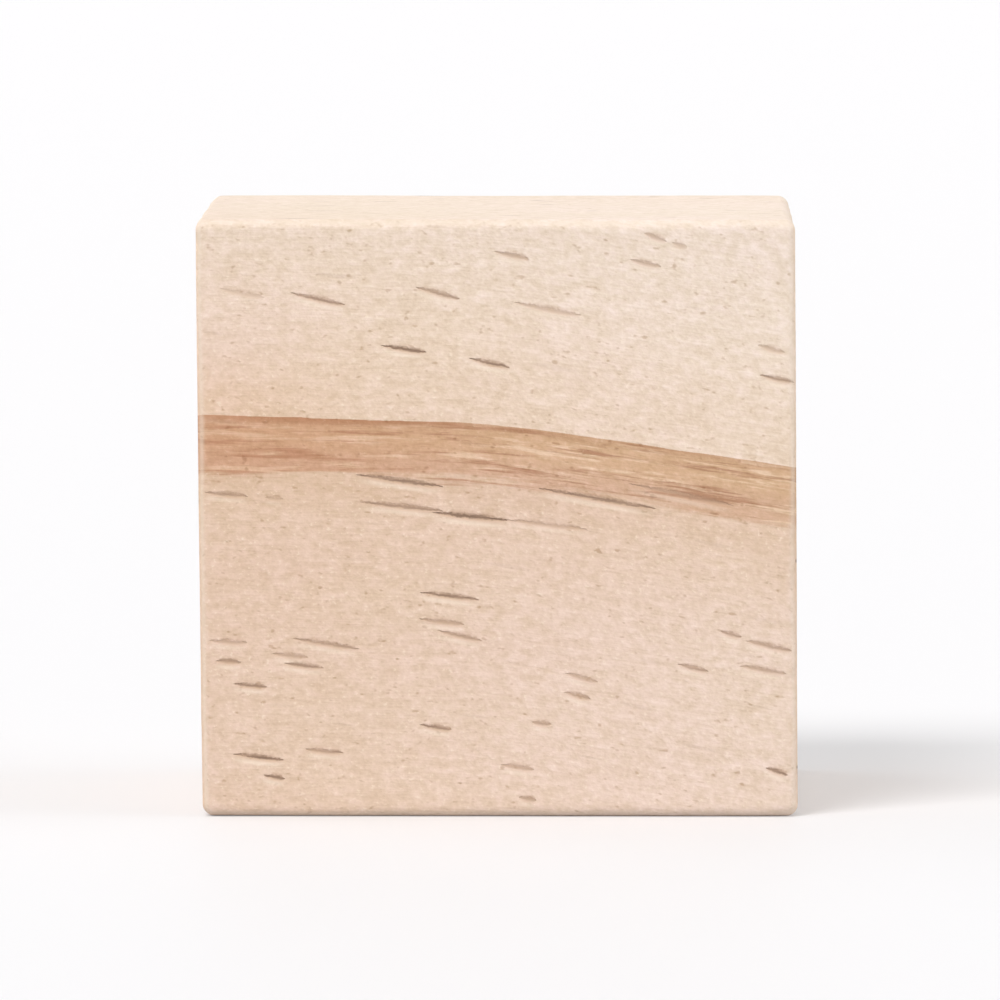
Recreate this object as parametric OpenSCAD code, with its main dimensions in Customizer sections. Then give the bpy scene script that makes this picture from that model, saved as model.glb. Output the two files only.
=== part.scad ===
// Wooden cube: a short length of square pine stick, sawn to a cube and sanded.
//
// Millimetres, +Z up. X runs with the grain, so the sawn ends face left and
// right. The origin is in the middle of the base, where the cube stands.

/* [Block] */
// Length with the grain, between the sawn ends at mid height
length = 30; // [15:0.5:60]
// Depth across the grain, from the front face to the back face
depth = 30; // [15:0.5:60]
// Height across the grain, from the base to the top face
height = 30; // [15:0.5:60]

/* [Sawn ends] */
// Degrees that the left end runs out of square, its top leaning outwards
left_end_lean = 0.65; // [0:0.05:3]
// Degrees that the right end runs out of square, its top leaning inwards
right_end_lean = 0.35; // [0:0.05:3]

/* [Sanded edges] */
// How far sanding reaches back from each edge that runs with the grain
long_edge_ease = 0.5; // [0.2:0.05:4]
// How far sanding reaches back from each edge round the sawn ends
end_edge_ease = 0.6; // [0.2:0.05:4]
// Degrees at which the round of a sanded edge meets the flat faces beside it
meeting_angle = 8; // [2:1:20]

/* [Hidden] */
$fn = 96;
// How far a cut runs on past the wood, so that it always comes out clean
run_out = height / 6;

// Cross-section of what sanding takes off one edge. The edge is at the origin.
// One face runs straight down from it, the other leaves it at the corner angle,
// and the wood lies between them, towards -x. The round cuts each face "ease"
// back from the edge, and its centre sits in the wood on the bisector.
module sanding_waste(ease, corner_angle = 90) {
    half = corner_angle / 2;
    radius = ease * sin(half) / cos(half + meeting_angle);
    centre_inset = ease * cos(half) + radius * sin(half + meeting_angle);
    reach = radius + run_out;
    rotate(90 - half)
        translate([-centre_inset, 0])
            difference() {
                polygon([
                    [0, 0],
                    reach * [cos(90 - half), -sin(90 - half)],
                    [centre_inset + 2 * reach, 0],
                    reach * [cos(90 - half), sin(90 - half)]
                ]);
                circle(radius);
            }
}

// The square stick before it is sawn, with its four long edges sanded
module stick() {
    rotate([90, 0, 90])
        linear_extrude(length + 2 * run_out, center = true)
            difference() {
                square([depth, height], center = true);
                for (across = [0, 1], up = [0, 1])
                    mirror([across, 0])
                        mirror([0, up])
                            translate([depth / 2, height / 2])
                                sanding_waste(long_edge_ease);
            }
}

// All that the saw and the sanding take off one end. The saw cut is the plane
// x = 0, the wood that stays lies towards -x, and the stick's top and base pass
// through the plane at the lean, so the two level corners aren't square.
module end_waste(lean) {
    reach_y = depth / 2 + run_out;
    reach_z = height / 2 + run_out;
    translate([0, -reach_y, -reach_z])
        cube([2 * run_out, 2 * reach_y, 2 * reach_z]);
    // the two upright edges
    for (across = [0, 1])
        mirror([0, across, 0])
            translate([0, depth / 2, 0])
                linear_extrude(2 * reach_z, center = true)
                    sanding_waste(end_edge_ease);
    // the two level edges
    for (up = [1, -1])
        mirror([0, 0, (1 - up) / 2])
            translate([0, 0, height / 2 / cos(lean)])
                rotate([90, 0, 0])
                    linear_extrude(2 * reach_y, center = true)
                        sanding_waste(end_edge_ease, 90 + up * lean);
}

// The waste set against the right end, tilted by the lean of the saw cut
module sawn_end(lean) {
    translate([length / 2, 0, 0])
        rotate([0, -lean, 0])
            end_waste(lean);
}

module wooden_cube() {
    color([0.92, 0.82, 0.73])
        translate([0, 0, height / 2])
            difference() {
                stick();
                sawn_end(right_end_lean);
                mirror([1, 0, 0])
                    sawn_end(-left_end_lean);
            }
}

wooden_cube();
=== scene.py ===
# %% [markdown]
# # A small sanded pine cube
# The cube is a short length of square pine stick. The stick is sawn across, so the cube has four
# long-grain faces and two sawn ends, and then its edges are rubbed down with fine paper.
# The CAD model gives its place and size. Here the same block is drawn again as a fine surface,
# because the things that make it look like wood are too small for a CAD solid: edges that a hand
# has sanded unevenly, shallow resin canals, and a finish with growth rings all through it.

# %% Load the frame
import math

import bpy
import numpy as np
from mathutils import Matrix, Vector


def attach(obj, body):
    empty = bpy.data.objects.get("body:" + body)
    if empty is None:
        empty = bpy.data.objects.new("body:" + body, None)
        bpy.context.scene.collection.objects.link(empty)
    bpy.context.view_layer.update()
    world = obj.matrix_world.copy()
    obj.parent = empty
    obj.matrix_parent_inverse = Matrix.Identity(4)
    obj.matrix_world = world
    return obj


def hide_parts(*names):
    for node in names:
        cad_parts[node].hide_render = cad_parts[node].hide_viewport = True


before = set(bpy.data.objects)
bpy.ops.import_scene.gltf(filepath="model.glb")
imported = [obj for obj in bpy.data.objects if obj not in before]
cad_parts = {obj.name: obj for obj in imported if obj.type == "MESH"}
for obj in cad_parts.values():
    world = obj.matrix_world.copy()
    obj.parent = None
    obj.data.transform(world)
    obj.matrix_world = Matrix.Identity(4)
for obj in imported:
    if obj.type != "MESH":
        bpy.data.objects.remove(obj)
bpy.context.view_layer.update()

# %% [markdown]
# ## Camera
# A long lens far away keeps the cube's edges nearly parallel, as in a catalogue picture. An
# orthographic camera would make them quite parallel, but then the top face would not narrow towards
# the back. The camera stands about 24 sides from the front face and one side above the top, so the
# top face is a thin strip. A small sideways step lets the cube sit very slightly turned to the lens.

# %% Camera
# the side of the cube in metres
SIDE = 0.030
# how far the camera stands from the middle of the base, in sides: to the right, in front, up
STEP_RIGHT, STEP_FORWARD, STEP_UP = 0.2, 24.5, 2.02

lens = bpy.data.cameras.new("camera")
lens.sensor_width = 36
lens.lens = 518.4
lens.clip_start = 0.01
lens.clip_end = 40
camera = bpy.data.objects.new("camera", lens)
camera.location = (STEP_RIGHT * SIDE, -STEP_FORWARD * SIDE, STEP_UP * SIDE)
look = Vector((0, 0, SIDE / 2)) - camera.location
camera.rotation_euler = look.to_track_quat("-Z", "Y").to_euler()
bpy.context.collection.objects.link(camera)
bpy.context.scene.camera = camera
print("camera to cube: %.3f m" % look.length)

# %% [markdown]
# ## A small kit for node trees
# A material is a graph, and building one by hand takes three steps for each node: make it, set it,
# join it. `place` does the three in one line, so that the materials below read like formulas.
# `reckon` and `ease_between` make the two nodes that are used most.

# %% Node kit
def place(tree, kind, sockets=None, **settings):
    """Add one node, set its settings, and join or fill the named sockets."""
    node = tree.nodes.new(kind)
    for name, value in settings.items():
        setattr(node, name, value)
    for key, value in (sockets or {}).items():
        if isinstance(value, bpy.types.NodeSocket):
            tree.links.new(value, node.inputs[key])
        else:
            node.inputs[key].default_value = value
    return node


def reckon(tree, operation, *values, clamp=False):
    """One Math node: the result of an operation on up to three values."""
    sockets = dict(enumerate(values))
    return place(tree, "ShaderNodeMath", sockets, operation=operation, use_clamp=clamp).outputs[0]


def ease_between(tree, value, start, end, low=0.0, high=1.0):
    """Go smoothly from low to high while the value goes from start to end."""
    sockets = {"Value": value, "From Min": start, "From Max": end, "To Min": low, "To Max": high}
    return place(tree, "ShaderNodeMapRange", sockets, interpolation_type="SMOOTHSTEP").outputs[0]


def blank(owner):
    """Empty the node tree of a new material or world, and return it."""
    owner.use_nodes = True
    owner.node_tree.nodes.clear()
    return owner.node_tree


print("nodes that may be placed:", sum(name.startswith("ShaderNode") for name in dir(bpy.types)))

# %% [markdown]
# A node group is a graph that is built once and then used like a single node. The wood needs five:
# a place in the tree, rings, fibres, canals, and the grooves of the front face. Each has named
# inputs and outputs, so a material reads it as it would read a formula with a name.

# %% Node groups
def open_group(name, inputs, outputs):
    """Start a node group. Returns its tree, its inputs by name, and its output node."""
    tree = bpy.data.node_groups.new(name, "ShaderNodeTree")
    for label, kind in inputs.items():
        tree.interface.new_socket(label, in_out="INPUT", socket_type="NodeSocket" + kind)
    for label, kind in outputs.items():
        tree.interface.new_socket(label, in_out="OUTPUT", socket_type="NodeSocket" + kind)
    given = tree.nodes.new("NodeGroupInput").outputs
    result = tree.nodes.new("NodeGroupOutput")
    return tree, given, result


def use_group(tree, name, sockets):
    """Place a finished node group and return its outputs."""
    group = bpy.data.node_groups[name]
    return place(tree, "ShaderNodeGroup", sockets, node_tree=group).outputs


print("node groups so far:", len(bpy.data.node_groups))

# %% [markdown]
# Screens store a colour on a curve that suits the eye, but shaders reckon in plain light. So a
# colour that is known by its screen values is turned to light before it goes into a socket.

# %% Screen colours
def srgb(red, green, blue):
    """A screen colour, 0 to 255, as light: a straight line near black and a power of 2.4 above."""
    parts = [c / 255 for c in (red, green, blue)]
    light = [p / 12.92 if p < 0.04045 else ((p + 0.055) / 1.055) ** 2.4 for p in parts]
    return (*light, 1.0)


print("mid grey, 128 on a screen, is %.3f of white light" % srgb(128, 128, 128)[0])

# %% [markdown]
# ## Floor
# The cube stands on white board. A white floor only looks white all over when it is a little
# brighter than the picture can show, but the lamps must stay at a plain level for the wood. So the
# board gives the camera some light of its own, through Light Path, and still keeps the soft shadow
# of the cube. An empty white world would be simpler, but the cube would hang in it.

# %% Floor
FLOOR_REACH = 6.0
BOARD_COLOUR = (0.62, 0.61, 0.62, 1)
BOARD_GLOW = 0.22


def level_sheet(name, reach):
    """A flat square: x and y both run from -reach to reach, and z is 0."""
    x, y = np.meshgrid([-reach, reach], [-reach, reach])
    corners = np.stack([x.ravel(), y.ravel(), np.zeros(4)], axis=1)
    mesh = bpy.data.meshes.new(name)
    mesh.from_pydata(corners.tolist(), [], [(0, 1, 3, 2)])
    sheet = bpy.data.objects.new(name, mesh)
    bpy.context.collection.objects.link(sheet)
    return sheet


def on_rays(tree, first, *others):
    """1 where the light path is of one of the named kinds, and 0 on every other path."""
    path = place(tree, "ShaderNodeLightPath").outputs
    found = path[first]
    for kind in others:
        found = reckon(tree, "MAXIMUM", found, path[kind])
    return found


floor = level_sheet("floor", FLOOR_REACH)

board = bpy.data.materials.new("white_board")
tree = blank(board)
matt = place(tree, "ShaderNodeBsdfPrincipled", {"Base Color": BOARD_COLOUR, "Roughness": 0.55})
matt.inputs["Specular IOR Level"].default_value = 0.3
glow = reckon(tree, "MULTIPLY", on_rays(tree, "Is Camera Ray", "Is Glossy Ray"), BOARD_GLOW)
light = place(tree, "ShaderNodeEmission", {"Strength": glow})
both = place(tree, "ShaderNodeAddShader", {0: matt.outputs[0], 1: light.outputs[0]})
place(tree, "ShaderNodeOutputMaterial", {"Surface": both.outputs[0]})
floor.data.materials.append(board)
print("floor: %.0f m square" % (2 * FLOOR_REACH))

# %% [markdown]
# ## Air
# The world fills the shadows with weak light from all sides. The camera, mirrors and glass see it
# as plain white instead, by the same Light Path trick, so the background stays white however weak
# the light on the wood is.

# %% Air
SKY = 0.29

world = bpy.data.worlds.new("studio_air")
bpy.context.scene.world = world
tree = blank(world)
white = on_rays(tree, "Is Camera Ray", "Is Glossy Ray", "Is Transmission Ray")
level = reckon(tree, "MULTIPLY_ADD", white, 1 - SKY, SKY)
air = place(tree, "ShaderNodeBackground", {"Color": (1, 1, 1, 1), "Strength": level})
place(tree, "ShaderNodeOutputWorld", {"Surface": air.outputs[0]})
print("air: %.2f of white" % SKY)

# %% [markdown]
# ## Lamps
# A studio lights a small block with a big soft box and some white card around it. Sun lamps with a
# wide spread do the same, and they light the cube evenly wherever it stands. The key comes from the
# front left and above, two fills keep the ends from going dull, and a weak one hangs overhead.

# %% Lamps
# where each lamp shines from, its level, and its spread in degrees
LAMPS = {
    "key": ((-0.35, -0.61, 0.71), 0.74, 28),
    "overhead": ((0.10, 0.15, 1.00), 0.11, 70),
    "right_fill": ((0.97, -0.10, 0.22), 0.50, 50),
    "left_fill": ((-0.80, 0.55, 0.22), 0.32, 50),
}


def far_lamp(name, direction, level, spread):
    """A sun lamp that shines from a direction. Level 1 makes white paper facing it plain white."""
    data = bpy.data.lights.new(name, "SUN")
    data.energy = level * math.pi
    data.angle = math.radians(spread)
    lamp = bpy.data.objects.new(name, data)
    lamp.rotation_euler = Vector(direction).to_track_quat("Z", "Y").to_euler()
    bpy.context.collection.objects.link(lamp)


for name, (direction, level, spread) in LAMPS.items():
    far_lamp(name, direction, level, spread)
bpy.context.scene.view_settings.view_transform = "Standard"
print("lamps:", ", ".join(LAMPS))

# %% [markdown]
# ## The block
# A cube with a Bevel modifier would have soft edges too, but all of them alike, and these were
# sanded by hand. So the surface starts as the outside of a box lattice: three sets of ruled lines,
# one along each side. A point of the lattice that lies on the outside gets a place on the cube by
# one formula, so neighbouring faces share their edge points and the skin is closed. The lines lie
# closer together over the eased edges, where the surface bends.

# %% Rule the lattice
# from here on all sizes are in mm
LENGTH = DEPTH = HEIGHT = 1000 * SIDE
LONG_EASE = 0.50
END_EASE = 0.60
EDGE_ZONE = 1.5 * END_EASE
EDGE_LINES = 7


def ruling(low, high, inner):
    """Lines from low to high: close in a zone at both edges, and even on the way between them."""
    edge = np.linspace(0, EDGE_ZONE, EDGE_LINES, endpoint=False)
    middle = np.linspace(low + EDGE_ZONE, high - EDGE_ZONE, inner)
    return np.concatenate([low + edge, middle, (high - edge)[::-1]])


rulings = [
    ruling(-LENGTH / 2, LENGTH / 2, inner=112),
    ruling(-DEPTH / 2, DEPTH / 2, inner=58),
    ruling(0, HEIGHT, inner=170),
]
counts = [len(lines) for lines in rulings]
print("ruled lines along X, Y, Z:", counts)

# %% [markdown]
# Six sides are read off the lattice. Each names the direction that runs to its right and the one
# that runs up, seen from outside, so that every quad turns the same way and its normal points out.
# A point is known by a code, its place in the whole lattice, so two sides that share an edge give
# its points the same codes.

# %% Six sides
THIRD = 1 / 3
# name, fixed axis, at its high end, right axis, right sign, up axis, up sign, UV tile (u, v, width)
SIDES = [
    ("front", 1, False, 0, 1, 2, 1, (0, 0, 2 * THIRD)),
    ("back", 1, True, 0, -1, 2, 1, (2 * THIRD, 0, THIRD)),
    ("left_end", 0, False, 1, -1, 2, 1, (2 * THIRD, THIRD, THIRD)),
    ("right_end", 0, True, 1, 1, 2, 1, (2 * THIRD, 2 * THIRD, THIRD)),
    ("top", 2, True, 0, 1, 1, 1, (THIRD, 2 * THIRD, THIRD)),
    ("base", 2, False, 0, 1, 1, -1, (0, 2 * THIRD, THIRD)),
]


def read_side(fixed, high, right, right_sign, up, up_sign):
    """Lattice codes on a grid: its first parameter runs to the right and its second upwards."""
    across = np.arange(counts[right])[::right_sign]
    along = np.arange(counts[up])[::up_sign]
    index = [None, None, None]
    index[right], index[up] = np.meshgrid(across, along, indexing="ij")
    index[fixed] = np.full(index[right].shape, counts[fixed] - 1 if high else 0)
    return np.ravel_multi_index(tuple(index), counts)


def corners_of(grid):
    """The four corners of each cell of a grid, in the order that faces outwards."""
    corners = [grid[:-1, :-1], grid[1:, :-1], grid[1:, 1:], grid[:-1, 1:]]
    return np.stack(corners, axis=2).reshape(-1, 4, *grid.shape[2:])


codes = []
for name, fixed, high, right, right_sign, up, up_sign, _ in SIDES:
    side = corners_of(read_side(fixed, high, right, right_sign, up, up_sign))
    codes.append(side)
    print("%s: %d quads" % (name, len(side)))

# %% [markdown]
# The same two directions lay out the piece's own UV map. Each side gets a square tile with a small
# margin, and the front face the largest.

# %% Lay out the UV map
TILE_MARGIN = 0.003


def tile_of(right, right_sign, up, up_sign, tile):
    """UV of each grid point: how far it lies along each direction, put into the side's own tile."""
    u0, v0, width = tile
    reach = []
    for axis, sign in ((right, right_sign), (up, up_sign)):
        lines = rulings[axis]
        part = (lines - lines[0]) / (lines[-1] - lines[0])
        reach.append(part if sign > 0 else 1 - part[::-1])
    u, v = np.meshgrid(*reach, indexing="ij")
    inner = width - 2 * TILE_MARGIN
    return np.stack([u0 + TILE_MARGIN + inner * u, v0 + TILE_MARGIN + inner * v], axis=-1)


corner_uv = []
for *_, right, right_sign, up, up_sign, tile in SIDES:
    corner_uv.append(corners_of(tile_of(right, right_sign, up, up_sign, tile)))
corner_uv = np.concatenate(corner_uv)
print("UV from %.3f to %.3f" % (corner_uv.min(), corner_uv.max()))

# %% [markdown]
# The sides are now joined into one skin. `unique` keeps each code once and says, for every corner
# of every quad, which of the kept points it is.

# %% Join the sides
kept, quads = np.unique(np.concatenate(codes), return_inverse=True)
quads = quads.reshape(-1, 4)
index = np.unravel_index(kept, counts)
lattice = np.stack([lines[i] for lines, i in zip(rulings, index)], axis=1)
print("points:", len(lattice), " triangles:", 2 * len(quads))

# %% [markdown]
# A few strokes of sandpaper ease a cube's edges, so the radius wanders along each edge. Every point
# is first pulled into a slightly smaller box and then pushed out again by the radius there, which
# turns square edges into quarter rounds and corners into small balls.

# %% Ease the edges
WAVES = 9
# how far in from a sawn end the edge radius goes over from the one ease to the other, in mm
END_REACH = 2.0
# how far the radius wanders, as a part of itself: slowly and quickly along an edge
SLOW_WANDER, QUICK_WANDER = 0.13, 0.05


def wander(place_mm, wavelength, seed):
    """A calm random field of about -1 to 1: twice the mean of nine sine waves.

    Each wave runs in a random direction and is 0.7 to 1.4 times as long as the given wavelength.
    """
    waves = np.random.default_rng(seed)
    total = np.zeros(len(place_mm))
    for _ in range(WAVES):
        direction = waves.normal(size=3)
        direction *= 2 * math.pi / (wavelength * waves.uniform(0.7, 1.4) * np.linalg.norm(direction))
        total += np.sin(place_mm @ direction + waves.uniform(0, 2 * math.pi))
    return total / (WAVES / 2)


middle = np.array([0, 0, HEIGHT / 2])
half = np.array([LENGTH, DEPTH, HEIGHT]) / 2
from_middle = lattice - middle
near_end = np.clip((np.abs(lattice[:, 0]) - (LENGTH / 2 - END_REACH)) / END_REACH, 0, 1)
radius = LONG_EASE + (END_EASE - LONG_EASE) * near_end
slow = SLOW_WANDER * wander(lattice, wavelength=7.0, seed=1)
quick = QUICK_WANDER * wander(lattice, wavelength=1.6, seed=2)
radius = radius * (1 + slow + quick)
radius = radius[:, None]
past = np.clip(np.abs(from_middle) - (half - radius), 0, None) / radius
outward = past / np.linalg.norm(past, axis=1, keepdims=True)
inner_box = np.minimum(np.abs(from_middle), half - radius)
skin = np.sign(from_middle) * (inner_box + radius * outward) + middle
normal = np.sign(from_middle) * outward
print("edge radius, mm: %.2f to %.2f" % (radius.min(), radius.max()))

# %% [markdown]
# The saw did not cut quite square, so both ends lean a little: the left one hangs out at the top,
# and the right one at the foot. A shear that grows from the middle height gives each end its lean
# and leaves the four long faces flat.

# %% Lean the sawn ends
LEFT_LEAN = math.radians(0.65)
RIGHT_LEAN = math.radians(0.35)

rise = HEIGHT / 2 - skin[:, 2]
part_right = (skin[:, 0] + LENGTH / 2) / LENGTH
skin[:, 0] += rise * ((1 - part_right) * math.tan(LEFT_LEAN) + part_right * math.tan(RIGHT_LEAN))
print("length over the corners, mm: %.2f" % np.ptp(skin[:, 0]))

# %% [markdown]
# ## Resin canals
# Pine has fine resin canals along its grain. Where a planed face cuts one at a small angle, it
# opens a groove two or three millimetres long and a hair wide. Chance could scatter them, but the
# front is the face that is looked at, so there they are placed one by one, as a carver would prick
# them in. They fall to the right, and more so where the grain rises.

# %% Canals of the front face
# x, z of the middle and the length in mm, how many degrees it falls to the right, how dark it is
CANALS = [
    (-9.0, 26.0, 2.8, 13, 0.76),
    (-3.0, 26.3, 2.3, 15, 0.70),
    (0.7, 28.2, 1.8, 12, 0.60),
    (2.5, 25.5, 3.4, 11, 0.50),
    (-4.7, 23.5, 2.3, 9, 0.90),
    (-0.4, 22.8, 2.1, 13, 0.85),
    (7.9, 29.1, 1.2, 19, 0.56),
    (9.1, 28.7, 0.8, 18, 0.42),
    (7.4, 27.8, 1.6, 13, 0.58),
    (13.7, 23.5, 1.4, 16, 0.50),
    (14.0, 22.0, 1.8, 12, 0.73),
    (-12.8, 26.3, 2.3, 11, 0.30),
    (-2.4, 11.1, 3.0, 7, 0.85),
    (-2.8, 9.8, 2.3, 7, 0.65),
    (-1.9, 9.1, 2.3, 13, 0.65),
    (-8.6, 8.7, 3.4, 9, 0.68),
    (-13.5, 8.8, 1.9, 4, 0.55),
    (-10.4, 8.1, 1.8, 6, 0.56),
    (-9.7, 7.6, 2.0, 6, 0.75),
    (-13.5, 7.8, 1.3, 4, 0.76),
    (-12.4, 6.6, 1.7, 6, 0.80),
    (4.2, 7.0, 1.7, 17, 0.55),
    (4.0, 6.1, 1.4, 16, 0.65),
    (9.8, 7.5, 1.6, 14, 0.68),
    (11.7, 9.2, 1.1, 17, 0.70),
    (13.6, 8.6, 2.4, 13, 0.65),
    (13.3, 7.4, 2.4, 10, 0.60),
    (-3.1, 4.5, 1.6, 9, 0.80),
    (2.2, 4.7, 1.0, 7, 0.65),
    (-8.7, 3.3, 1.9, 5, 0.77),
    (-12.0, 3.0, 2.6, 7, 0.93),
    (-11.2, 2.0, 1.1, 11, 0.90),
    (1.0, 2.5, 1.7, 9, 0.60),
    (1.5, 0.9, 0.9, 11, 0.60),
    (14.0, 2.3, 1.2, 18, 0.84),
]
CANAL_WIDTH = 0.32
print("canals placed by hand:", len(CANALS))

# %% [markdown]
# The dark late wood is hard and brittle, and its lower border has torn a little along the grain.
# Those fissures are longer, finer and nearly level, so each one has its own lean and width.

# %% Fissures along the band
# x, z of the middle, length, lean in degrees, width and darkness
FISSURES = [
    (-4.9, 16.9, 4.4, 8, 0.34, 0.85),
    (-4.8, 15.6, 4.2, 6, 0.32, 0.74),
    (-1.4, 15.1, 3.8, 6, 0.36, 0.95),
    (2.4, 14.7, 4.4, 7, 0.28, 0.50),
    (-13.6, 16.2, 2.2, 5, 0.30, 0.68),
    (-11.2, 16.0, 0.9, 4, 0.28, 0.42),
    (5.0, 16.0, 6.0, 10, 0.34, 0.82),
    (9.2, 16.2, 5.4, 12, 0.34, 0.60),
]
canals = [(x, z, size, lean, CANAL_WIDTH, dark) for x, z, size, lean, dark in CANALS]
grooves = np.array(canals + FISSURES)
print("canals and fissures:", len(grooves))

# %% [markdown]
# A mesh can hand numbers to its material through attributes. Each front point near a groove keeps
# three of them: how far it lies along the groove (-1 to 1 from end to end), how far across (1 at
# its lip), and how dark it is. Both distances are straight-line formulas of x and z, so the shader
# can fill them in between the points exactly, and the groove stays sharper than the mesh. A finer
# mesh would do as well, but only with a hundred times as many points.
# Grooves that lie close together go on separate layers, so that their numbers never mix.

# %% Measure the skin against the grooves
# how far past its ends and sides a groove is still measured, in mm
CLEAR = 0.55
LAYERS = 3
FAR_OFF = 99.0
# the depth in mm of a groove that is quite dark, and how far its sides slope away
GROOVE_DEPTH, GROOVE_SPREAD = 0.02, 0.18
# a point is on the front where its normal points forwards by more than this
FORWARDS = 0.2
# two grooves are as close end to end at this many times the distance as one above the other
LONG_WAY = 2.5


def along_and_across(points, groove):
    """Distances from a groove's middle, in mm: along it, and square to it with up as plus."""
    x, z, _, lean, _, _ = groove
    turn = math.radians(lean)
    dx, dz = points[:, 0] - x, points[:, 2] - z
    return dx * math.cos(turn) - dz * math.sin(turn), dx * math.sin(turn) + dz * math.cos(turn)


def room_on(group, x, z):
    """How far a place is from the nearest groove of a group."""
    gaps = [math.hypot((x - other[0]) / LONG_WAY, z - other[1]) for other in group]
    return min(gaps, default=FAR_OFF)


on_front = normal[:, 1] < -FORWARDS
front = skin[on_front]
layers = np.zeros((LAYERS, len(skin), 3))
dent = np.zeros(len(front))
members = [[] for _ in range(LAYERS)]
for groove in grooves:
    x, z, size, lean, width, dark = groove
    layer = int(np.argmax([room_on(group, x, z) for group in members]))
    members[layer].append(groove)
    along, across = along_and_across(front, groove)
    near = (np.abs(along) < size / 2 + CLEAR) & (np.abs(across) < CLEAR)
    local = np.stack([along / (size / 2), across / (width / 2), np.full(len(front), dark)], axis=1)
    target = layers[layer][on_front]
    target[near] = local[near]
    layers[layer][on_front] = target
    taper = np.clip(1 - (along / (size / 2)) ** 2, 0, 1)
    dent += GROOVE_DEPTH * dark * taper * np.exp(-((across / GROOVE_SPREAD) ** 2))
print("grooves on each layer:", [len(group) for group in members])

# %% [markdown]
# There is a catch between two neighbouring points: where one belongs to a groove and the next one
# doesn't, the shader still blends their numbers. A point just outside therefore keeps the distances
# of its nearest groove and only its darkness is nought, so the blend fades and nothing else moves.

# %% Carry the distances a little further out
for layer, group in enumerate(members):
    target = layers[layer][on_front]
    best = np.full(len(front), FAR_OFF)
    for groove in group:
        size, width = groove[2], groove[4]
        along, across = along_and_across(front, groove)
        miss = np.hypot(np.clip(np.abs(along) - size / 2, 0, None), across)
        empty = (target[:, 2] == 0) & (miss < best)
        best[empty] = miss[empty]
        target[empty, 0] = (along / (size / 2))[empty]
        target[empty, 1] = (across / (width / 2))[empty]
    layers[layer][on_front] = target
print("points inside a groove's reach:", int((layers[:, :, 2].max(axis=0) > 0).sum()))

# %% [markdown]
# Sawing and stacking leave small bruises on the edges. Each one is a shallow dimple that is pressed
# straight into the block, so it shows most on the thin edge. The faces also have a slow unevenness
# of a few hundredths of a millimetre, which keeps reflections from looking like glass.

# %% Press in the bruises and dents
# x, y, z of the middle and the radius, all in mm
BRUISES = [
    (-15.2, -15.0, 28.6, 0.45),
    (-15.2, -15.0, 27.4, 0.35),
    (-15.1, -15.0, 26.2, 0.30),
    (15.0, -15.0, 14.0, 0.40),
    (15.0, -15.0, 11.5, 0.35),
    (15.0, -15.0, 6.9, 0.40),
    (-14.9, -15.0, 4.1, 0.35),
    (6.5, -15.0, 30.0, 0.35),
    (15.0, 8.0, 30.0, 0.45),
    (-15.1, 11.0, 30.0, 0.40),
]
# the depth of a bruise as a part of its radius
BRUISE_DEPTH = 0.20
# the mean depth in mm of the unevenness: of its slow waves and of its quick ones
SLOW_DEPTH, QUICK_DEPTH = 0.012, 0.004

depth_in = SLOW_DEPTH * (1 + wander(skin, wavelength=9.0, seed=3))
depth_in = depth_in + QUICK_DEPTH * (1 + wander(skin, wavelength=2.2, seed=4))
depth_in = np.clip(depth_in, 0, None)
depth_in[on_front] += dent
for x, y, z, size in BRUISES:
    gap = np.linalg.norm(skin - (x, y, z), axis=1)
    depth_in += BRUISE_DEPTH * size * np.exp(-((gap / size) ** 2))
skin -= normal * depth_in[:, None]
print("deepest mark, mm: %.2f" % depth_in.max())

# %% [markdown]
# `foreach_set` copies whole arrays into Blender in one go. The mesh is in metres and in the CAD
# frame, so the object itself stays at the origin. Besides the groove layers, each point carries
# two more numbers for the material: how much it belongs to a sawn end, and to an eased edge.

# %% Make the piece
GROOVE_LAYERS = ("grooves_a", "grooves_b", "grooves_c")

mesh = bpy.data.meshes.new("pine_block")
mesh.from_pydata((skin / 1000).tolist(), [], quads.tolist())
mesh.shade_smooth()
uv_map = mesh.uv_layers.new(name="OFBake")
uv_map.data.foreach_set("uv", corner_uv.reshape(-1))
for label, layer in zip(GROOVE_LAYERS, layers):
    store = mesh.attributes.new(label, "FLOAT_VECTOR", "POINT")
    store.data.foreach_set("vector", layer.reshape(-1))
endness = mesh.attributes.new("end_grain", "FLOAT", "POINT")
endness.data.foreach_set("value", np.abs(normal[:, 0]))
eased = mesh.attributes.new("eased_edge", "FLOAT", "POINT")
eased.data.foreach_set("value", 1 - np.max(np.abs(normal), axis=1))
block = bpy.data.objects.new("pine_block", mesh)
bpy.context.collection.objects.link(block)
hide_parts("wooden_cube")
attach(block, "root")
print("mesh valid:", not mesh.validate(verbose=False))

# %% [markdown]
# ## The way the grain runs
# A picture of wood could be wrapped round the block, but then the grain would stop at each edge. In
# real wood the figure runs right through. So every pattern here reads its place in the tree's own
# terms: how far along the grain, how far round the pith, and how far out from it, all in
# millimetres. The pith lies far below the cube, so its rings cross the block as wide, gently curved
# shells. The stick was cut a little across the tree's direction, so the layers sink to the right,
# slowly at first and faster past the middle. A point is lifted by as much as they have sunk there
# before it is measured.

# %% Place in the tree
# where the pith lies, and how high the band's sharp edge stands on the front face, in mm
PITH_Y, PITH_Z = -20.0, -45.0
BAND_TOP = 20.0
# how far the layers sink: at the middle, for each mm to the right, and for each mm past the bend
SINK_MIDDLE, SINK_RATE, SINK_MORE = 0.17, 0.022, 0.12
BEND_X, BEND_SOFTNESS = -1.0, 5.0

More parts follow.
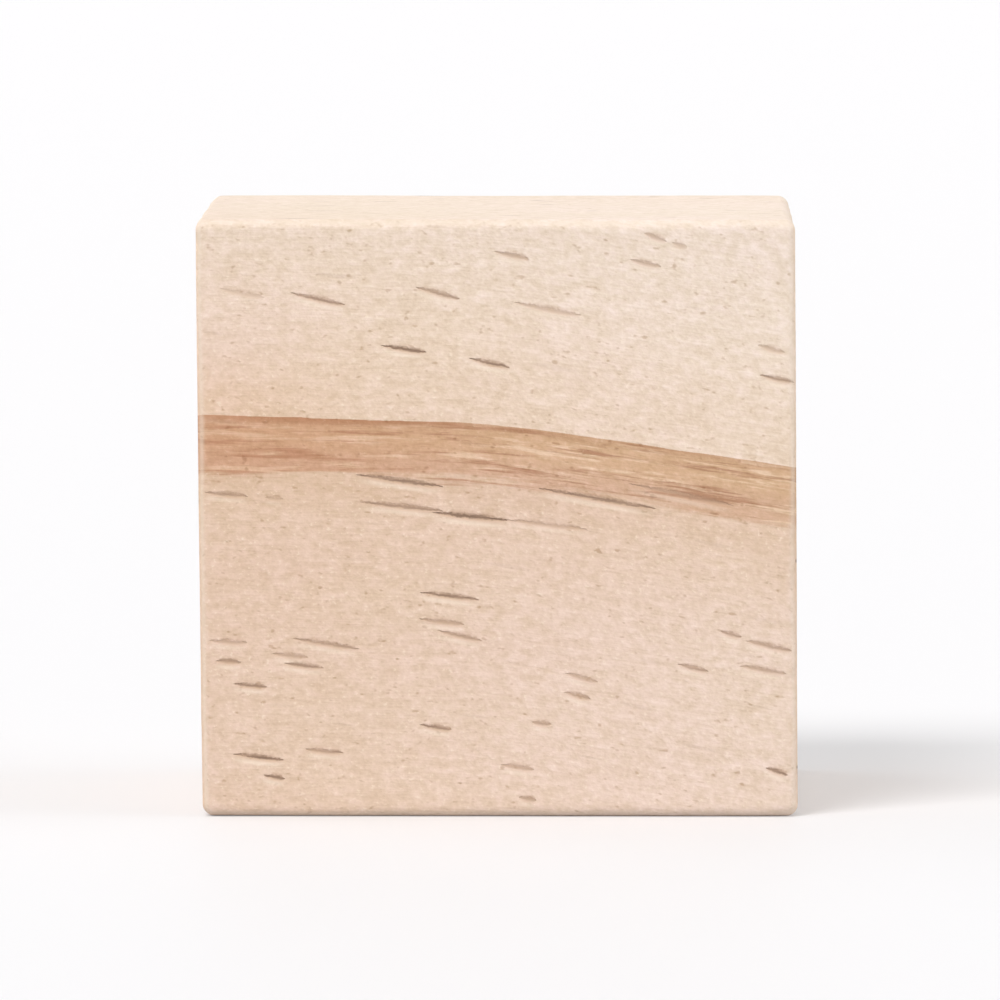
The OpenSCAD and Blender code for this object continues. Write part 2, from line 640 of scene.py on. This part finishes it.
edge_radius = math.hypot(-DEPTH / 2 - PITH_Y, BAND_TOP - PITH_Z)
flow, given, result = open_group("place_in_tree", {"Block place": "Vector"}, {"Place": "Vector"})
axes = place(flow, "ShaderNodeSeparateXYZ", {0: given["Block place"]}).outputs
past_bend = reckon(flow, "SUBTRACT", axes["X"], BEND_X)
past_bend = reckon(flow, "SMOOTH_MAX", past_bend, 0.0, BEND_SOFTNESS)
sunk = reckon(flow, "MULTIPLY_ADD", axes["X"], SINK_RATE, SINK_MIDDLE)
sunk = reckon(flow, "MULTIPLY_ADD", past_bend, SINK_MORE, sunk)
from_pith_y = reckon(flow, "SUBTRACT", axes["Y"], PITH_Y)
from_pith_z = reckon(flow, "SUBTRACT", reckon(flow, "ADD", axes["Z"], sunk), PITH_Z)
squared = reckon(flow, "MULTIPLY", from_pith_z, from_pith_z)
out = reckon(flow, "SQRT", reckon(flow, "MULTIPLY_ADD", from_pith_y, from_pith_y, squared))
turn = reckon(flow, "ARCTAN2", from_pith_y, from_pith_z)
around = reckon(flow, "MULTIPLY", turn, edge_radius)
in_tree = place(flow, "ShaderNodeCombineXYZ", {"X": axes["X"], "Y": around, "Z": out})
flow.links.new(in_tree.outputs[0], result.inputs["Place"])
print("ring edge: %.1f mm from the pith" % edge_radius)

# %% [markdown]
# ## Growth rings
# A tree adds a ring each year: pale early wood first, then a narrow band of dark late wood that
# stops sharply where winter came. The distance out from the pith, divided by the ring width, gives
# the year, and its fraction gives the depth below that year's sharp outer edge. A small waver keeps
# the edge from being a perfect curve. A Wave texture draws rings too, but it can't tell one year
# from the next, and no two years have quite the same colour.

# %% Growth rings
RING_WIDTH = 23.5

rings, given, result = open_group(
    "growth_rings",
    {"Place": "Vector", "Waver": "Float"},
    {"Year": "Float", "Depth": "Float"},
)
axes = place(rings, "ShaderNodeSeparateXYZ", {0: given["Place"]}).outputs
out = reckon(rings, "ADD", axes["Z"], given["Waver"])
years = reckon(rings, "DIVIDE", reckon(rings, "SUBTRACT", edge_radius, out), RING_WIDTH)
depth = reckon(rings, "MULTIPLY", reckon(rings, "FRACT", years), RING_WIDTH)
rings.links.new(reckon(rings, "FLOOR", years), result.inputs["Year"])
rings.links.new(depth, result.inputs["Depth"])
print("ring width: %.1f mm" % RING_WIDTH)

# %% [markdown]
# ## Fibres and fuzz
# Wood fibres are hair-thin tubes along the grain, seen as fine streaks on the long faces and as a
# tight crowd of points on the ends. Noise that is stretched along the grain gives both, because the
# ends simply cut across it. Threads, slivers and tides are thin layers that follow the rings, and
# rays are thin sheets that stand square to them. Sanding breaks the fibres into a pale, granular
# fuzz, a finer noise with little stretch. Each output is centred on nought, to lighten or darken.

# %% Fibres and fuzz
# how long a grain is along the grain, round the pith and out from it, then detail, roughness, start
NOISES = {
    "Cloud": ((15, 7, 7), 1.0, 0.5, (6, 1, 2)),
    "Streak": ((14, 5, 1.0), 3.0, 0.55, (6, 6, 2)),
    "Thread": ((6.0, 2.0, 0.30), 4.0, 0.66, (2, 4, 1)),
    "Sliver": ((5.5, 2.5, 0.50), 4.0, 0.66, (7, 5, 6)),
    "Fibre": ((2.4, 0.11, 0.11), 3.0, 0.65, (11, 2, 5)),
    "Grain": ((0.66, 0.40, 0.42), 2.0, 0.6, (2, 9, 6)),
    "Fuzz": ((0.22, 0.17, 0.17), 2.0, 0.6, (0, 4, 9)),
    "Pore": ((0.48, 0.27, 0.27), 1.0, 0.5, (7, 2, 8)),
    "Ray": ((30, 0.16, 4.0), 2.0, 0.6, (1, 2, 3)),
    "Tide": ((60, 16, 0.7), 3.0, 0.6, (4, 8, 7)),
}


def stretched_noise(tree, where, stretch, detail, roughness, start):
    """Noise from -0.5 to 0.5 whose grains are as long, in mm, as the stretch along each axis."""
    scale = tuple(1 / s for s in stretch)
    moved = place(tree, "ShaderNodeMapping", {"Vector": where, "Location": start, "Scale": scale})
    sockets = {"Vector": moved.outputs[0], "Scale": 1.0, "Detail": detail, "Roughness": roughness}
    noise = place(tree, "ShaderNodeTexNoise", sockets)
    return reckon(tree, "SUBTRACT", noise.outputs[0], 0.5)


outputs = dict.fromkeys(NOISES, "Float")
fibres, given, result = open_group("wood_fibres", {"Place": "Vector"}, outputs)
for label, settings in NOISES.items():
    value = stretched_noise(fibres, given["Place"], *settings)
    fibres.links.new(value, result.inputs[label])
print("noises:", ", ".join(NOISES))

# %% [markdown]
# ## Canals elsewhere
# The other faces have canals too, but nobody needs to place those by hand. Seen along the grain
# they are small dots scattered over a plane, which is what a Voronoi texture gives. The plane is
# tilted a few degrees against the block, so every long face cuts the tubes at a flat angle and
# shows dashes, and the sawn ends show the dots themselves.

# %% Canals elsewhere
CANAL_SPACING = 1.5
# radius in mm of the finest tubes, and how much wider the widest ones are
FINEST_TUBE, WIDER = 0.0715, 0.091
TILT_ROUND = math.tan(math.radians(7))
TILT_OUT = math.tan(math.radians(3))

tubes, given, result = open_group("canal_tubes", {"Place": "Vector"}, {"Canal": "Float"})
axes = place(tubes, "ShaderNodeSeparateXYZ", {0: given["Place"]}).outputs
tilted_round = reckon(tubes, "MULTIPLY_ADD", axes["X"], -TILT_ROUND, axes["Y"])
tilted_out = reckon(tubes, "MULTIPLY_ADD", axes["X"], TILT_OUT, axes["Z"])
plane = place(tubes, "ShaderNodeCombineXYZ", {"X": tilted_round, "Y": tilted_out})
sockets = {"Vector": plane.outputs[0], "Scale": 1 / CANAL_SPACING, "Randomness": 1.0}
cells = place(tubes, "ShaderNodeTexVoronoi", sockets, voronoi_dimensions="2D")
from_tube = reckon(tubes, "MULTIPLY", cells.outputs["Distance"], CANAL_SPACING)
lot = place(tubes, "ShaderNodeSeparateColor", {0: cells.outputs["Color"]}).outputs
tube_radius = reckon(tubes, "MULTIPLY_ADD", lot["Red"], WIDER, FINEST_TUBE)
across_tube = reckon(tubes, "DIVIDE", from_tube, tube_radius)
open_tube = ease_between(tubes, across_tube, start=1.15, end=0.4)
darkness = ease_between(tubes, lot["Green"], start=0.1, end=1.0, low=0.1)
tubes.links.new(reckon(tubes, "MULTIPLY", open_tube, darkness), result.inputs["Canal"])
print("one canal to each %.1f mm square" % CANAL_SPACING)

# %% [markdown]
# ## Grooves on the front
# This group turns the three stored numbers into masks. The canal is a lens with long pointed ends,
# a little fuller towards its right, and the stain is the same lens, wider and softer. The lip
# highlight is a painted highlight: a pale line just below the canal, where the broken edge of the
# groove would catch the light.

# %% Grooves on the front
POINTED = 0.7
FULLER_RIGHT = 0.25
# as parts of half the groove's width
THINNEST = 0.001
LIP_BELOW, LIP_WIDTH = 1.8, 1.3

marks, given, result = open_group(
    "groove_masks",
    {"Local": "Vector", "Ragged": "Float"},
    {"Canal": "Float", "Stain": "Float", "Lip highlight": "Float"},
)
local = place(marks, "ShaderNodeSeparateXYZ", {0: given["Local"]}).outputs
along, across, dark = local["X"], local["Y"], local["Z"]
lens_shape = reckon(marks, "SUBTRACT", 1.0, reckon(marks, "MULTIPLY", along, along), clamp=True)
lens_shape = reckon(marks, "POWER", lens_shape, POINTED)
fullness = reckon(marks, "MULTIPLY_ADD", along, FULLER_RIGHT, 1.0)
thickness = reckon(marks, "MULTIPLY", lens_shape, fullness)
thickness = reckon(marks, "MAXIMUM", thickness, THINNEST)
off_line = reckon(marks, "ABSOLUTE", reckon(marks, "ADD", across, given["Ragged"]))
off_part = reckon(marks, "DIVIDE", off_line, thickness)
below = reckon(marks, "ABSOLUTE", reckon(marks, "ADD", across, LIP_BELOW))
masks = {
    "Canal": ease_between(marks, off_part, start=1.2, end=0.1),
    "Stain": ease_between(marks, off_part, start=2.1, end=0.4),
    "Lip highlight": reckon(marks, "MULTIPLY", ease_between(marks, below, LIP_WIDTH, 0.0), lens_shape),
}
for label, mask in masks.items():
    marks.links.new(reckon(marks, "MULTIPLY", mask, dark), result.inputs[label])
print("masks:", ", ".join(masks))

# %% [markdown]
# ## The pine finish
# Bare pine has no varnish: it is matt, warm and slightly furry. Its ground colour changes slowly
# with the year's depth: it is palest in the early wood and browner near the dark late wood, both
# below the band and where the next year begins above it. One flat colour with streaks on it would
# look like painted wood, so a colour ramp over the depth comes first. The noises serve many ends
# from here on, each time in other shares, and `add_up` mixes them like the parts of a recipe.

# %% Pine: the ground
# depth below the year's outer edge, as a part of the ring width, and the colour there
YEAR = [
    (0.00, srgb(220, 195, 168)),
    (0.15, srgb(222, 198, 173)),
    (0.22, srgb(226, 204, 181)),
    (0.45, srgb(227, 205, 184)),
    (0.65, srgb(228, 207, 187)),
    (0.78, srgb(229, 208, 188)),
    (1.00, srgb(226, 202, 180)),
]
# how many mm a noise moves a ring's edge, for each 1.0 of it
EDGE_WAVER = {"Streak": 0.4, "Thread": 0.25}


def colour_ramp(tree, factor, stops):
    """A colour ramp with the given stops."""
    node = place(tree, "ShaderNodeValToRGB", {0: factor})
    ramp = node.color_ramp
    for part, colour in stops[1:-1]:
        ramp.elements.new(part).color = colour
    ramp.elements[0].color = stops[0][1]
    ramp.elements[-1].color = stops[-1][1]
    return node.outputs[0]


def add_up(tree, noises, weights, start=0.0):
    """A sum: the start, and each named noise times its own weight."""
    total = start
    for label, weight in weights.items():
        total = reckon(tree, "MULTIPLY_ADD", noises[label], weight, total)
    return total


pine = bpy.data.materials.new("pine")
tree = blank(pine)
metres = place(tree, "ShaderNodeTexCoord").outputs["Object"]
in_mm = place(tree, "ShaderNodeVectorMath", {0: metres, 3: 1000.0}, operation="SCALE")
block_place = in_mm.outputs[0]
grain = use_group(tree, "place_in_tree", {"Block place": block_place})["Place"]
fibre = use_group(tree, "wood_fibres", {"Place": grain})
waver = add_up(tree, fibre, EDGE_WAVER)
ring = use_group(tree, "growth_rings", {"Place": grain, "Waver": waver})
year_part = reckon(tree, "DIVIDE", ring["Depth"], RING_WIDTH)
wood = colour_ramp(tree, year_part, YEAR)
print("ground: %d colours over a year of %.1f mm" % (len(YEAR), RING_WIDTH))

# %% [markdown]
# No two years are quite alike, and no year is the same all along the block. The year below the band
# is a shade deeper than the one above it: partly its own tone, and partly painted shade, because
# that year fills the lower part of the front face, where the light falls off. The colour grows paler
# to the right, most of all high up and least just under the band. Resin has crept from the late wood
# into the foot of the next year at the left. The wood far out from the pith, on top of the block, is
# painted paler as painted light from above. The ramp can't say any of this, because it knows only
# the depth. So each is laid over the ground like a thin glaze, by a Mix node with a mask of its own.

# %% Pine: from year to year
# painted shade: with the year's own tone, this tint darkens the year below the band, low on the
# front face
DEEPER_YEAR_AND_SHADE = srgb(250, 245, 243)
PALE = srgb(242, 232, 220)
RESIN = srgb(220, 186, 154)
# painted light: the top of the block is made paler, as the strong light from above would show it
PAINTED_TOP_LIGHT = srgb(234, 220, 205)


def lay_over(tree, amount, under, over, kind="MIX"):
    """Lay one colour over another by an amount from 0 to 1."""
    sockets = {0: amount, 6: under, 7: over}
    return place(tree, "ShaderNodeMix", sockets, data_type="RGBA", blend_type=kind).outputs[2]


tree_axes = place(tree, "ShaderNodeSeparateXYZ", {0: grain}).outputs
along_grain, from_pith = tree_axes["X"], tree_axes["Z"]
# the year below the band: its own deeper tone, and painted shade on the lower part of the front face
deeper_and_shaded = lay_over(tree, 1.0, wood, DEEPER_YEAR_AND_SHADE, kind="MULTIPLY")
older = ease_between(tree, ring["Year"], start=-1.0, end=0.0)
wood = lay_over(tree, older, wood, deeper_and_shaded)

paler = ease_between(tree, along_grain, -LENGTH / 2, LENGTH / 2, high=0.30)
past_band = ease_between(tree, ring["Depth"], start=3.5, end=10.5, low=0.40)
paler = reckon(tree, "MULTIPLY", paler, past_band)
high_up = ease_between(tree, from_pith, edge_radius + 2.0, edge_radius + 7.0, low=1.0, high=1.4)
paler = reckon(tree, "MULTIPLY", paler, high_up)
wood = lay_over(tree, paler, wood, PALE)

resin = ease_between(tree, ring["Depth"], RING_WIDTH - 4.0, RING_WIDTH - 0.5, high=0.35)
at_left = ease_between(tree, along_grain, start=-5.0, end=-LENGTH / 2)
resin = reckon(tree, "MULTIPLY", resin, at_left)
wood = lay_over(tree, resin, wood, RESIN)

# painted light from above: a paler colour laid over the wood at the top of the block
top_light_painted_on = ease_between(tree, from_pith, edge_radius + 4.0, edge_radius + 13.5, high=0.75)
wood = lay_over(tree, top_light_painted_on, wood, PAINTED_TOP_LIGHT)
print("outermost wood: from %.1f mm out" % (edge_radius + 4.0))

# %% [markdown]
# The late wood is not one flat brown, as a dark stop in the ramp would make it. It is built of thin
# layers that run with the grain: a dark line along the sharp top edge, tawny wood under it with
# dark threads and pale slivers, and a foot that is a touch pinker. The whole band is ruddier to the
# left. Its lower edge is softer and wavers.

# %% Pine: the late band
TAWNY, TAWNY_FOOT = srgb(208, 173, 139), srgb(208, 173, 145)
PALE_SLIVER = srgb(230, 203, 174)
DARK_THREAD = srgb(174, 131, 100)
TOP_LINE = srgb(176, 133, 99)
RUDDY = srgb(194, 140, 106)
BAND_WIDTH = 2.85
FOOT_WAVER = {"Streak": 1.6, "Thread": 0.9}
TOP_LINE_WAVER = {"Streak": 1.6}

foot = add_up(tree, fibre, FOOT_WAVER, start=BAND_WIDTH)
below_foot = reckon(tree, "SUBTRACT", ring["Depth"], foot)
in_band = ease_between(tree, below_foot, start=0.35, end=-0.15)

towards_foot = ease_between(tree, ring["Depth"], start=1.0, end=2.4)
band = lay_over(tree, towards_foot, TAWNY, TAWNY_FOOT)
sliver = ease_between(tree, fibre["Sliver"], start=0.01, end=0.13, high=0.85)
band = lay_over(tree, sliver, band, PALE_SLIVER)
thread = ease_between(tree, fibre["Thread"], start=0.01, end=0.17)
band = lay_over(tree, thread, band, DARK_THREAD)

top_line = ease_between(tree, along_grain, start=4.0, end=-10.0, low=0.5, high=0.9)
top_line = add_up(tree, fibre, TOP_LINE_WAVER, start=top_line)
at_top = ease_between(tree, ring["Depth"], start=0.55, end=0.0)
top_line = reckon(tree, "MULTIPLY", top_line, at_top, clamp=True)
band = lay_over(tree, top_line, band, TOP_LINE)

ruddy = ease_between(tree, along_grain, start=6.0, end=-14.0, high=0.44)
band = lay_over(tree, ruddy, band, RUDDY)
wood = lay_over(tree, in_band, wood, band)
print("late band: about %.2f mm wide" % BAND_WIDTH)

# %% [markdown]
# Over the ground and the band lie the fibres, the fuzz and small dark pores. Each could be a glaze
# too, but they change light and dark more than hue, so they are summed into one number that
# multiplies the colour. Wood that is darker is also browner: the number is raised to a lower power
# for red and to a higher one for blue. The ends show less of all this than the long faces.

# %% Pine: light and dark
MOTTLE = {"Fibre": 0.26, "Grain": 0.46, "Fuzz": 0.30}
SLOW_SHADE = {"Streak": 0.05, "Cloud": 0.07}
PORE_SHADE = -0.30
ENDS_SHOW = 0.6
POWERS = {"X": 0.75, "Y": 1.0, "Z": 1.3}

end_grain = place(tree, "ShaderNodeAttribute", attribute_name="end_grain").outputs["Fac"]
end_mask = ease_between(tree, end_grain, start=0.6, end=0.95)
pores = ease_between(tree, fibre["Pore"], start=0.15, end=0.30, high=PORE_SHADE)
mottle = add_up(tree, fibre, MOTTLE, start=pores)
shown = ease_between(tree, end_mask, 0.0, 1.0, low=1.0, high=ENDS_SHOW)
mottle = reckon(tree, "MULTIPLY", mottle, shown)
shade = reckon(tree, "ADD", mottle, add_up(tree, fibre, SLOW_SHADE))
shade = reckon(tree, "ADD", shade, 1.0)
light = {axis: reckon(tree, "POWER", shade, power) for axis, power in POWERS.items()}
light = place(tree, "ShaderNodeCombineXYZ", light).outputs[0]
wood = lay_over(tree, 1.0, wood, light, kind="MULTIPLY")
print("summed up:", ", ".join(MOTTLE))

# %% [markdown]
# Patches lean a touch to yellow or to pink, and sanding dust sits in the fuzz as pale specks. The
# hard late wood holds much less of it.

# %% Pine: tint and dust
YELLOWISH, PINKISH = srgb(255, 253, 249), srgb(255, 250, 252)
DUST = srgb(246, 230, 212)
PATCHES = {"Grain": 1.6, "Cloud": 1.3}

hue = add_up(tree, fibre, PATCHES)
tint = lay_over(tree, ease_between(tree, hue, start=-0.5, end=0.5), YELLOWISH, PINKISH)
wood = lay_over(tree, 1.0, wood, tint, kind="MULTIPLY")
dust = ease_between(tree, fibre["Fuzz"], start=0.12, end=0.22, high=0.35)
held = ease_between(tree, in_band, 0.0, 1.0, low=1.0, high=0.25)
dust = reckon(tree, "MULTIPLY", dust, held)
wood = lay_over(tree, dust, wood, DUST)
print("nodes so far:", len(tree.nodes))

# %% [markdown]
# The canals come next. A thin dark core lies in a softer brown stain, and the painted highlight on
# the lip is laid down first so that the stain may cover it. The chance canals keep off the front
# face, which has its own, and fade where the edges are rubbed. The masks of the three groove layers
# could be three sets of glazes, but the largest of them at each place is all that shows, so one set
# will do.

# %% Pine: canals and grooves
# painted highlight: the pale line below each groove, where its edge would catch the light
LIP_HIGHLIGHT = srgb(248, 232, 214)
STAIN = srgb(203, 163, 137)
CANAL = srgb(168, 137, 111)
CORE = srgb(116, 92, 74)
RAGGED = {"Grain": 0.6, "Fuzz": 0.9}
# how much of a canal's darkness is left on the mean, where the fibres break it up
UNBROKEN = 0.95

axes = place(tree, "ShaderNodeSeparateXYZ", {0: block_place}).outputs
off_front = ease_between(tree, axes["Y"], start=-14.95, end=-14.6, low=0.2)
eased_edge = place(tree, "ShaderNodeAttribute", attribute_name="eased_edge").outputs["Fac"]
# the eased edges: wear that fades the canals, and the painted highlight laid on them further down
rubbed_and_highlit = ease_between(tree, eased_edge, start=0.02, end=0.25)
unrubbed = ease_between(tree, rubbed_and_highlit, 0.0, 1.0, low=1.0, high=0.2)
canal = use_group(tree, "canal_tubes", {"Place": grain})["Canal"]
canal = reckon(tree, "MULTIPLY", canal, off_front)
canal = reckon(tree, "MULTIPLY", canal, unrubbed)
ragged = add_up(tree, fibre, RAGGED)
lip_highlight = stain = 0.0
for label in GROOVE_LAYERS:
    stored = place(tree, "ShaderNodeAttribute", attribute_name=label).outputs["Vector"]
    groove = use_group(tree, "groove_masks", {"Local": stored, "Ragged": ragged})
    canal = reckon(tree, "MAXIMUM", canal, groove["Canal"])
    stain = reckon(tree, "MAXIMUM", stain, groove["Stain"])
    lip_highlight = reckon(tree, "MAXIMUM", lip_highlight, groove["Lip highlight"])
patchy = reckon(tree, "ADD", fibre["Fibre"], UNBROKEN, clamp=True)
canal = reckon(tree, "MULTIPLY", canal, patchy)
core = ease_between(tree, canal, start=0.5, end=1.0, high=0.8)
# painted highlight along the lower lip of each groove
wood = lay_over(tree, reckon(tree, "MULTIPLY", lip_highlight, 0.5), wood, LIP_HIGHLIGHT)
wood = lay_over(tree, reckon(tree, "MULTIPLY", stain, 0.4), wood, STAIN)
wood = lay_over(tree, reckon(tree, "MULTIPLY", canal, 0.85), wood, CANAL)
wood = lay_over(tree, core, wood, CORE)
print("groove layers:", len(GROOVE_LAYERS))

# %% [markdown]
# The sawn ends are thirsty: they look a shade deeper than the long faces. Fine rays run from the
# pith outwards across the rings, and the saw has left faint slanting ripples. The eased edges are
# paler than the faces: partly rubbed by the sandpaper, and partly a painted highlight where the
# rounded edge would catch the light. A second material on the ends would stop dead at the edge, but
# the numbers that each point carries let one finish go over from face to end.

# %% Pine: ends and edges
THIRSTY = srgb(253, 247, 239)
# paler edges: real wear, and a painted highlight where the rounded edge would catch the light
RUBBED_AND_HIGHLIGHT = srgb(228, 212, 194)
SAW_SLANT, SAW_RATE = 0.35, 5.2
SAW_WANDER = {"Cloud": 9.0}
END_LEVEL, RIPPLE_SHADE = 0.955, 0.010
END_SHADE = {"Ray": 0.30, "Tide": 0.16}

saw_place = reckon(tree, "MULTIPLY_ADD", axes["Y"], SAW_SLANT, axes["Z"])
saw_turn = reckon(tree, "MULTIPLY", saw_place, SAW_RATE)
saw_turn = add_up(tree, fibre, SAW_WANDER, start=saw_turn)
ripple = reckon(tree, "SINE", saw_turn)
end_shade = reckon(tree, "MULTIPLY_ADD", ripple, RIPPLE_SHADE, END_LEVEL)
end_shade = add_up(tree, fibre, END_SHADE, start=end_shade)
grey = place(tree, "ShaderNodeCombineXYZ", dict.fromkeys("XYZ", end_shade)).outputs[0]
end_wood = lay_over(tree, 1.0, wood, grey, kind="MULTIPLY")
wood = lay_over(tree, end_mask, wood, end_wood)
wood = lay_over(tree, end_mask, wood, THIRSTY, kind="MULTIPLY")
# wear and painted highlight on the eased edges
wood = lay_over(tree, reckon(tree, "MULTIPLY", rubbed_and_highlit, 0.4), wood, RUBBED_AND_HIGHLIGHT)
print("a saw ripple each %.1f mm" % (2 * math.pi / SAW_RATE))

# %% [markdown]
# The same numbers give the relief, in millimetres: fuzz and fibres stand up, the canals sink, and
# the saw ripples wave the ends. Moving real points by a few hundredths of a millimetre would take
# millions of them, so one Bump node turns the sum into normals. Sheen, the shader's fuzz for cloth,
# is left out: seen at a flat angle it would grey the top face.

# %% Pine: relief and surface
RELIEF = {"Fuzz": 0.030, "Fibre": 0.014, "Grain": 0.020}
CANAL_RELIEF, RIPPLE_RELIEF = -0.05, 0.012
ROUGH = 0.62
MORE_ROUGH = {"Fuzz": 0.25}

relief = add_up(tree, fibre, RELIEF)
relief = reckon(tree, "MULTIPLY_ADD", canal, CANAL_RELIEF, relief)
end_ripple = reckon(tree, "MULTIPLY", ripple, end_mask)
relief = reckon(tree, "MULTIPLY_ADD", end_ripple, RIPPLE_RELIEF, relief)
bump = place(tree, "ShaderNodeBump", {"Height": relief, "Distance": 0.001, "Strength": 1.0})
rough = add_up(tree, fibre, MORE_ROUGH, start=ROUGH)
sockets = {"Base Color": wood, "Roughness": rough, "Normal": bump.outputs[0]}
surface = place(tree, "ShaderNodeBsdfPrincipled", sockets)
surface.inputs["IOR"].default_value = 1.45
surface.inputs["Specular IOR Level"].default_value = 0.5
place(tree, "ShaderNodeOutputMaterial", {"Surface": surface.outputs[0]})
mesh.materials.append(pine)
print("pine: %d nodes" % len(tree.nodes))

# %% [markdown]
# ## Sizes
# The drawn block must fill the CAD block and not grow out of it.
